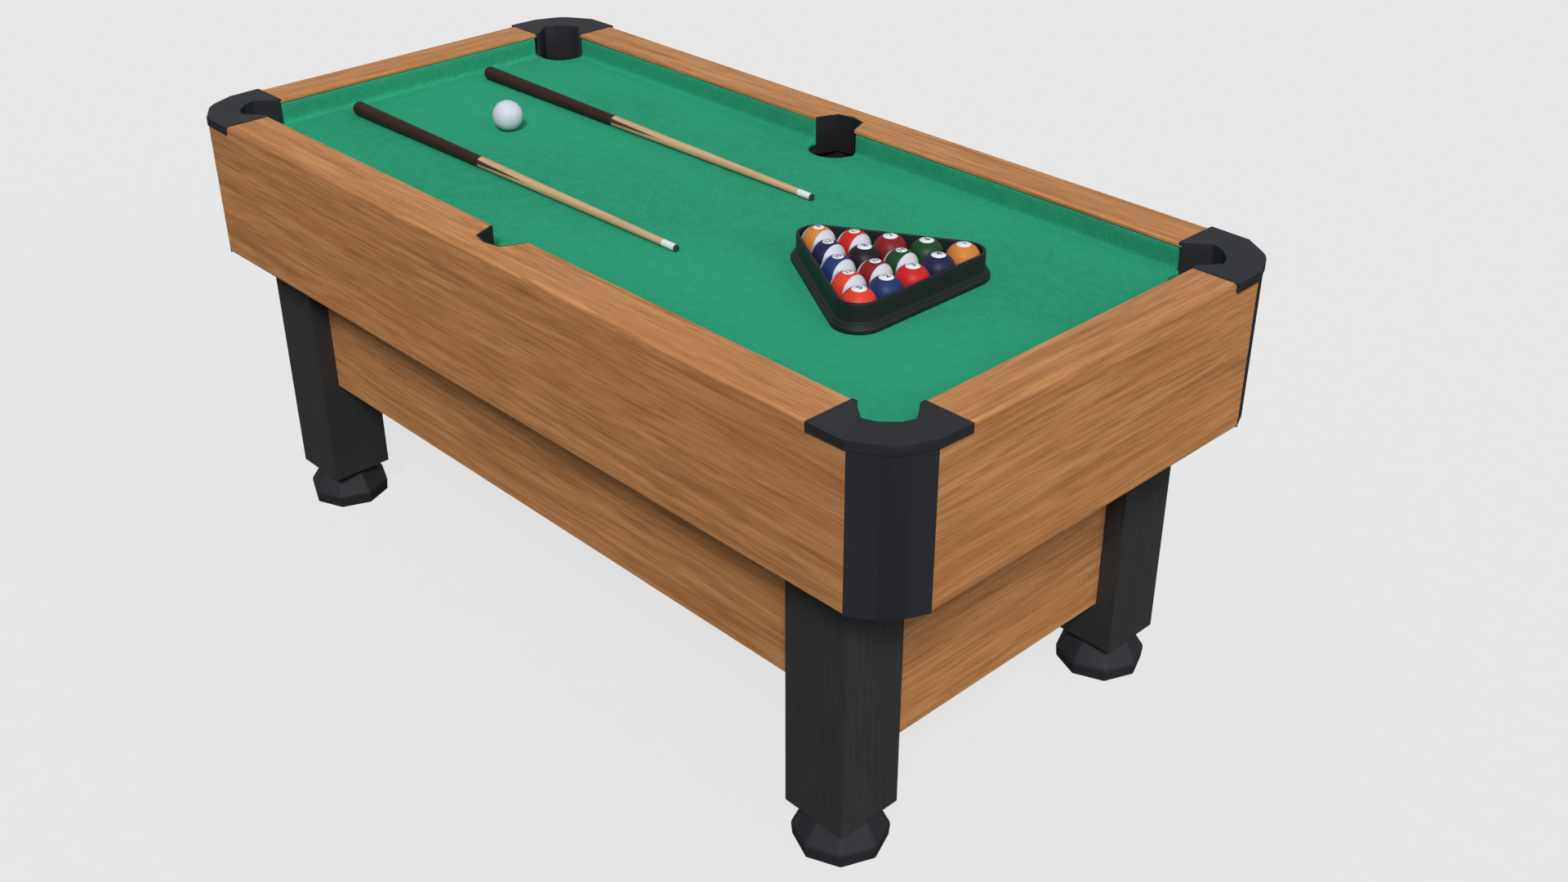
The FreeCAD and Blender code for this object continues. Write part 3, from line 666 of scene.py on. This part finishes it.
def bed_cloth():
    """The cloth stretched over the bed, its edge rolled down into each of the six holes."""
    low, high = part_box("bed_cloth")
    points, edges, holes, gaps = [], [], [], []
    outline = cloth_outline(high)
    add_loop(points, edges, [Vector(p) for p in outline])
    for x, y, hole_radius in pockets():
        centre, radius = Vector((x, y)), hole_radius - (CLOTH_THICK + HOLE_GAP)
        holes.append((centre, radius))
        add_loop(points, edges, hole_ring(centre, radius, 0.0))
        for ring, out in enumerate(HOLE_RINGS[1:], 1):
            points += hole_ring(centre, radius + ROLL * out, 0.5 * (ring % 2))
        gaps.append(cloth_gap(x, y))
        add_loop(points, edges, [Vector(p) for p in gaps[-1]])
    for i in range(-GRID_REACH[0], GRID_REACH[0] + 1):
        for j in range(-GRID_REACH[1], GRID_REACH[1] + 1):
            point = Vector((i * GRID, j * GRID))
            clear = all(
                (point - centre).length > radius + ROLL + GRID_CLEAR for centre, radius in holes
            )
            if clear and not any(in_polygon(*point, gap) for gap in gaps):
                points.append(point)
    flat, _, faces, *_ = delaunay_2d_cdt(points, edges, [], 0, 1e-6)
    bm = bmesh.new()
    verts = [bm.verts.new((p.x, p.y, FELT - roll_drop(p, holes))) for p in flat]
    for face in faces:
        x = sum(flat[i].x for i in face) / len(face)
        y = sum(flat[i].y for i in face) / len(face)
        in_gap = any(in_polygon(x, y, gap) for gap in gaps)
        in_hole = any((Vector((x, y)) - centre).length < radius for centre, radius in holes)
        if in_polygon(x, y, outline) and not in_gap and not in_hole:
            bm.faces.new([verts[i] for i in face])
    loose = [v for v in bm.verts if not v.link_faces]
    bmesh.ops.delete(bm, geom=loose, context="VERTS")
    rim = [edge for edge in bm.edges if on_rim(edge, holes)]
    for made in bmesh.ops.extrude_edge_only(bm, edges=rim)["geom"]:
        if isinstance(made, bmesh.types.BMVert):
            made.co.z -= HEM
    area = sum(face.calc_area() for face in bm.faces)
    cloth = finished("bed_cloth_sheet", bm, felt("bed_felt", BED_FELT, 1.0))
    thick = cloth.modifiers.new("thickness", "SOLIDIFY")
    thick.thickness = CLOTH_THICK
    thick.offset = -1.0
    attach(cloth, "table")
    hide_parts("bed_cloth")


# A cushion across its length: depth behind the rail's edge and height over the cloth.
# Its foot sweeps out into the bed on a hollow curve.
FOOT = 0.0060
FOOT_TURNS = [radians(turn) for turn in range(0, 91, 15)]
CUSHION_FACE = [
    (0.0208, -0.0004),
    (-0.0063, -0.0004),
    *[(FOOT * sin(turn) - FOOT - 0.0003, FOOT - FOOT * cos(turn)) for turn in FOOT_TURNS],
    (-0.00040, 0.0130),
    (-0.00035, 0.0200),
    (-0.00020, 0.0250),
    (0.00010, 0.0259),
    (0.00080, 0.0263),
    (0.0208, 0.0263),
]
CUSHION_DEPTH = 0.02
CUSHION_END = 0.0040  # rounding of its ends in plan
CUSHION_STATIONS = [0.0, 0.0004, 0.0010, 0.0018, 0.0028, CUSHION_END]  # places along an end
CUSHION_SPACING = 0.02  # of the places between the ends
CUSHION_GAP = 0.0004  # to a side pocket's liner


def cushion(name, node, start, stop, nose, sign, along_x, material):
    """A cloth-covered rubber strip from start to stop, its two ends rounded back in plan."""
    count = int((stop - start) / CUSHION_SPACING)
    stations = [start + e for e in CUSHION_STATIONS]
    stations += [start + (stop - start) * i / count for i in range(1, count)]
    stations += [stop - e for e in reversed(CUSHION_STATIONS)]
    rings = []
    for s in stations:
        t = min(s - start, stop - s, CUSHION_END)
        back = CUSHION_END - (CUSHION_END**2 - (CUSHION_END - t) ** 2) ** 0.5
        ring = []
        for depth, height in CUSHION_FACE:
            share = max(0.0, 1.0 - depth / CUSHION_DEPTH)
            across = sign * (nose + depth + back * share)
            place_at = (s, across) if along_x else (across, s)
            ring.append((*place_at, FELT + height))
        rings.append(ring)
    piece = skin(name, rings, material)
    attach(piece, "table")
    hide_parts(node)


def cushions():
    # The side cushions' cloth is darker than the bed's as painted shade.
    shaded_side_felt = felt("side_cushion_felt_shaded", SIDE_FELT_SHADED, 3.0)
    end_felt = felt("end_cushion_felt", BED_FELT, 5.0)
    x_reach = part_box("side_cushions")[1].x
    y_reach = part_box("end_cushions")[1].y
    for y_sign, side in ((-1, "front"), (1, "back")):
        for x_sign, end in ((-1, "left"), (1, "right")):
            start, stop = sorted((x_sign * (SIDE_POCKET + CUSHION_GAP), x_sign * x_reach))
            name = "cushion_" + side + "_" + end
            cushion(name, "side_cushions", start, stop, SIDE_NOSE, y_sign, True, shaded_side_felt)
    for x_sign, end in ((-1, "left"), (1, "right")):
        name = "cushion_" + end
        cushion(name, "end_cushions", -y_reach, y_reach, END_NOSE, x_sign, False, end_felt)


# Loose pieces

RACK_PLASTIC = (0.0120, 0.0150, 0.0160)
CORNER_PIECES = 18  # steps round each corner of the rack
STRAIGHT_PIECES = 8  # steps along each side


def rounded_triangle(corners, offset, z):
    """The outline that stays a given offset outside the triangle of the corner balls."""
    points = []
    for here, after in zip(corners, corners[1:] + corners[:1]):
        run = after - here
        outward = atan2(-run.x, run.y)
        for step in range(CORNER_PIECES + 1):
            turn = outward - radians(120) * (1 - step / CORNER_PIECES)
            points.append((here.x + offset * cos(turn), here.y + offset * sin(turn), z))
        normal = Vector((cos(outward), sin(outward))) * offset
        for step in range(1, STRAIGHT_PIECES):
            on = here + run * step / STRAIGHT_PIECES + normal
            points.append((on.x, on.y, z))
    return points


# Across the rack's wall, in millimetres: offset from the line of the corner balls, height
RACK_WALL = (
    (20.5, 0.0), (20.2, 0.4), (20.2, 14.0), (20.2, 29.8), (20.4, 30.4), (20.9, 30.7),
    (22.9, 30.7), (23.5, 30.4), (23.7, 29.7), (23.7, 20.0), (23.75, 11.2), (23.9, 10.4),
    (24.4, 9.9), (26.2, 9.2), (26.9, 8.7), (27.1, 8.0), (27.15, 7.2), (27.3, 6.8), (27.8, 6.5),
    (28.9, 5.5), (29.3, 5.0), (29.5, 4.3), (29.5, 0.7), (29.2, 0.2), (28.5, 0.0),
)


def rack():
    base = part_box("rack")[0].z
    corners = [node_centre(node).xy for node in ("ball_09", "ball_05", "ball_01")]
    rings = [rounded_triangle(corners, d / 1000, base + z / 1000) for d, z in RACK_WALL]
    material = moulded_plastic("rack_plastic", RACK_PLASTIC, 0.5, 13.0, 0.22)
    piece = skin("rack_moulding", rings, material, closed=True)
    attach(piece, "rack")
    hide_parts("rack")


# Digits, over the letter size
DIGIT_WEIGHT = 0.026  # how far the outline is moved out
DIGIT_STEP = 0.08  # length of the pieces of the outline
DIGIT_BULGE = 0.0008  # how far the straight edges are bowed out
DIGIT_MERGE = 0.005  # points of the font's outline that are nearer than this are joined
# Digits, in metres
DIGIT_RAISE = 0.00003
DIGIT_SINK = 0.00006
SOLID_DIGITS = 0.0074  # height on a disc of a plain ball
STRIPE_DIGITS = 0.0063


def outline_of(text):
    """The outline of a text in the plain font, as short straight pieces, made a little bolder."""
    curve = bpy.data.curves.new("digits", "FONT")
    curve.body = text
    curve.resolution_u = 6
    writing = bpy.data.objects.new("digits", curve)
    SCENE.collection.objects.link(writing)
    bpy.context.view_layer.update()
    evaluated = writing.evaluated_get(bpy.context.evaluated_depsgraph_get())
    mesh = bpy.data.meshes.new_from_object(evaluated)
    bpy.data.objects.remove(writing)
    bm = bmesh.new()
    bm.from_mesh(mesh)
    bpy.data.meshes.remove(mesh)
    bmesh.ops.remove_doubles(bm, verts=bm.verts, dist=DIGIT_MERGE)
    rim = [edge for edge in bm.edges if edge.is_boundary]
    outward = {}
    for edge in rim:
        loop = edge.link_loops[0]
        run = (loop.link_loop_next.vert.co - loop.vert.co).normalized()
        for vert in edge.verts:
            outward.setdefault(vert, []).append(Vector((run.y, -run.x, 0.0)))
    for vert, normals in outward.items():
        total = sum(normals, Vector())
        vert.co += total * DIGIT_WEIGHT * 2 / max(total.length_squared, 1.0)
    pieces = []
    for edge in rim:
        loop = edge.link_loops[0]
        start = loop.vert.co.xy.copy()
        stop = loop.link_loop_next.vert.co.xy.copy()
        run = stop - start
        bow = Vector((run.y, -run.x)).normalized() * DIGIT_BULGE
        count = max(1, round(run.length / DIGIT_STEP))
        shares = [i / count for i in range(count + 1)]
        stations = [start.lerp(stop, share) + bow * sin(pi * share) for share in shares]
        pieces += zip(stations, stations[1:])
    bm.free()
    return pieces


def digits(name, number, centre, height, material):
    """The number at the ball's top and again at its foot, as thin curved solids."""
    pieces = outline_of(str(number))
    ends = [end for piece in pieces for end in piece]
    low = Vector((min(p.x for p in ends), min(p.y for p in ends)))
    high = Vector((max(p.x for p in ends), max(p.y for p in ends)))
    scale = height / (high.y - low.y)
    edges = [(i, i + 1) for i in range(0, len(ends), 2)]
    flat, _, faces, *_ = delaunay_2d_cdt(ends, edges, [], 1, 1e-5)
    outside = BALL + DIGIT_RAISE
    inside = BALL - DIGIT_SINK
    bm = bmesh.new()
    verts = []
    for point in flat:
        across = (point - (low + high) / 2) * scale
        rise = (outside**2 - across.length_squared) ** 0.5
        verts.append(bm.verts.new((-across.y, across.x, rise)))
    for face in faces:
        middle = sum((flat[i] for i in face), Vector((0.0, 0.0))) / len(face)
        if winding(middle.x, middle.y, pieces) > 0:
            bm.faces.new([verts[i] for i in face])
    top = list(bm.verts)
    bmesh.ops.extrude_face_region(bm, geom=list(bm.faces))
    for vert in top:
        vert.co = vert.co.normalized() * inside
    foot = bmesh.ops.duplicate(bm, geom=bm.verts[:] + bm.edges[:] + bm.faces[:])["geom"]
    moved = [g for g in foot if isinstance(g, bmesh.types.BMVert)]
    bmesh.ops.rotate(bm, verts=moved, cent=(0, 0, 0), matrix=Matrix.Rotation(pi, 3, "X"))
    bmesh.ops.translate(bm, verts=bm.verts, vec=centre)
    return finished(name, bm, material)


def balls():
    ink = number_ink("number_ink")
    for number in [None] + list(range(1, 16)):
        body = "cue_ball" if number is None else "ball_%02d" % number
        centre = node_centre(body)
        centre.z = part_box("cue_ball")[0].z + BALL
        bm = bmesh.new()
        bmesh.ops.create_icosphere(bm, subdivisions=5, radius=BALL)
        bmesh.ops.translate(bm, verts=bm.verts, vec=centre)
        material = ball_resin(body + "_paint", centre, BALL, number)
        piece = finished(body + "_resin", bm, material)
        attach(piece, body)
        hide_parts(body)
        if number is not None:
            height = SOLID_DIGITS if number <= LAST_SOLID else STRIPE_DIGITS
            inlay = digits(body + "_number", number, centre, height, ink)
            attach(inlay, body)


# Camera, light and floor

CAMERA_AT = (1.4188, -1.2022, 1.2658)
CAMERA_YAW = 46.23
CAMERA_PITCH = -30.16
CAMERA_ROLL = -0.09
LENS = 39.57  # millimetres
SENSOR = 36.0
# Name, direction towards it, energy and spread in degrees
LIGHTS = (
    ("key", (0.493, -0.515, 0.701), 2.69, 14.0),
    ("end_fill", (0.90, 0.12, 0.46), 0.66, 35.0),
)
SKY = 0.372  # strength of the sky overhead
HORIZON = 0.80  # at the horizon, and wherever the camera sees the sky
GROUND_GLOW = 0.062  # below the horizon
FLOOR_GLOW = 0.725
FLOOR_REACH = 40.0
FLOOR_LEVEL = -0.0005


def add_camera():
    data = bpy.data.cameras.new("camera")
    data.lens = LENS
    data.sensor_width = SENSOR
    camera = bpy.data.objects.new("camera", data)
    camera.location = CAMERA_AT
    turn = Matrix.Rotation(radians(CAMERA_YAW), 4, "Z")
    turn = turn @ Matrix.Rotation(radians(90 + CAMERA_PITCH), 4, "X")
    turn = turn @ Matrix.Rotation(radians(CAMERA_ROLL), 4, "Z")
    camera.rotation_euler = turn.to_euler()
    SCENE.collection.objects.link(camera)
    SCENE.camera = camera


def add_light():
    """A soft key light from beside the camera, a fill for the +X end, and a pale sky."""
    world = bpy.data.worlds.new("studio")
    world.use_nodes = True
    tree = world.node_tree
    background = tree.nodes["Background"]
    background.inputs["Color"].default_value = (0.99, 0.995, 1.0, 1.0)
    height = put(tree, "SeparateXYZ", {0: put(tree, "TexCoord").outputs["Generated"]}).outputs[2]
    low = between(tree, height, -0.05, 0.0, GROUND_GLOW, HORIZON)
    high = between(tree, height, 0.0, 0.12, 0.0, HORIZON - SKY)
    seen = put(tree, "LightPath").outputs["Is Camera Ray"]
    lit = compute(tree, "SUBTRACT", low, high)
    mixed = put(tree, "Mix", {0: seen, 2: lit, 3: HORIZON}, data_type="FLOAT").outputs[0]
    tree.links.new(mixed, background.inputs["Strength"])
    SCENE.world = world
    for name, towards, energy, spread in LIGHTS:
        data = bpy.data.lights.new(name, "SUN")
        data.energy = energy
        data.angle = radians(spread)
        light = bpy.data.objects.new(name, data)
        light.rotation_euler = (-Vector(towards)).to_track_quat("-Z", "Y").to_euler()
        light.location = Vector(towards) * 4
        SCENE.collection.objects.link(light)


def add_floor():
    """A pale floor that glows, so that shadows on it stay faint. It lights nothing itself."""
    material, tree, shader = new_material("floor_paint", (0.30, 0.30, 0.30))
    grain = noise(tree, place(tree), 35.0, 3.0)
    colour = blend(tree, between(tree, grain, 0.4, 0.6), (0.068,) * 3, (0.072,) * 3)
    drive(
        tree,
        shader,
        Base_Color=colour,
        Roughness=0.9,
        Specular_IOR_Level=0.0,
        Emission_Color=(1.0, 1.0, 1.0, 1.0),
        Emission_Strength=FLOOR_GLOW,
    )
    mesh = bpy.data.meshes.new("floor")
    signs = ((-1, -1), (1, -1), (1, 1), (-1, 1))
    corners = [(x * FLOOR_REACH, y * FLOOR_REACH, FLOOR_LEVEL) for x, y in signs]
    mesh.from_pydata(corners, [], [(0, 1, 2, 3)])
    floor = new_object("floor", mesh, material, smooth=False)
    floor.visible_diffuse = False
    floor.visible_glossy = False
    floor.visible_shadow = False


# The CAD's own pieces

DARK_PLASTIC = (0.0225, 0.0235, 0.0280)
FOOT_PLASTIC = (0.0190, 0.0200, 0.0235)
LINER_PLASTIC = (0.0130, 0.0137, 0.0160)
# Widths of the rounded edges
PANEL_EDGE = 0.0002
CASTING_EDGE = 0.0013
LEG_EDGE = 0.0012
FOOT_EDGE = 0.0030
LINER_EDGE = 0.0006
CUE_TURN = radians(0.97)
CUE_JOINT = 0.269  # length of the butt
CUE_RADIUS = 0.009


def panels():
    """The wooden aprons, rails and skirts. Aprons and rails share their seed."""
    for index, side in enumerate(SIDES):
        for kind in ("side_apron_", "side_rail_", "side_skirt_"):
            seed = (2.0 if "skirt" in kind else 1.0) + 7.0 * index
            paint(kind + side, wood("wood_" + kind + side, "X", seed))
            soften(kind + side, PANEL_EDGE)
    for index, end in enumerate(ENDS):
        for kind in ("end_apron_", "end_rail_", "end_skirt_"):
            seed = (4.0 if "skirt" in kind else 3.0) + 5.0 * index
            paint(kind + end, wood("wood_" + kind + end, "Y", seed))
            soften(kind + end, PANEL_EDGE)


def corner_pieces():
    for index, corner in enumerate(CORNERS):
        casting = moulded_plastic("casting_" + corner, DARK_PLASTIC, 0.48, index + 1.0)
        paint("corner_casting_" + corner, casting)
        soften("corner_casting_" + corner, CASTING_EDGE, 3)
        paint("leg_" + corner, dark_laminate("leg_foil_" + corner, index + 1.0))
        soften("leg_" + corner, LEG_EDGE, 3)
        foot = moulded_plastic("foot_" + corner, FOOT_PLASTIC, 0.6, index + 6.0, 0.24)
        paint("leveling_foot_" + corner, foot)
        soften("leveling_foot_" + corner, FOOT_EDGE, 3, flat_faces=False)


def liners_and_cups():
    material = moulded_plastic("liner_plastic", LINER_PLASTIC, 0.55, 11.0, 0.2)
    for side in SIDES:
        paint("side_pocket_liner_" + side, material)
        soften("side_pocket_liner_" + side, LINER_EDGE)
    paint("pocket_cups", material)


def hidden_structure():
    """The bed board, cleats, cabinet floor, brackets and screws."""
    # The bed board is black inside its pocket holes as painted shade.
    paint("bed_board", fibreboard("bed_fibreboard", pockets()))
    board = fibreboard("fibreboard")
    for node in ("bed_cleats", "cabinet_floor"):
        paint(node, board)
    steel = zinc_steel("zinc_steel")
    for node in ("leg_brackets", "screws"):
        paint(node, steel)


def cues():
    for side in SIDES:
        cue = "cue_" + side
        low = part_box(cue + "_butt")[0]
        direction = Vector((cos(CUE_TURN), sin(CUE_TURN), 0.0))
        start = Vector((low.x, low.y + CUE_RADIUS, low.z + CUE_RADIUS))
        axis = (start, direction)
        tip = plain_speckled("tip_" + side, (0.020, 0.024, 0.030), 0.8, 2200.0, 0.6)
        paint(cue + "_butt", butt_wood("butt_" + side, axis))
        paint(cue + "_shaft", shaft_wood("shaft_" + side, axis, CUE_JOINT))
        paint(cue + "_ferrule", plain_speckled("ferrule_" + side, (0.74, 0.75, 0.77), 0.35))
        paint(cue + "_tip", tip)


add_camera()
add_light()
add_floor()
panels()
corner_pieces()
liners_and_cups()
hidden_structure()
bed_cloth()
cushions()
rack()
balls()
cues()
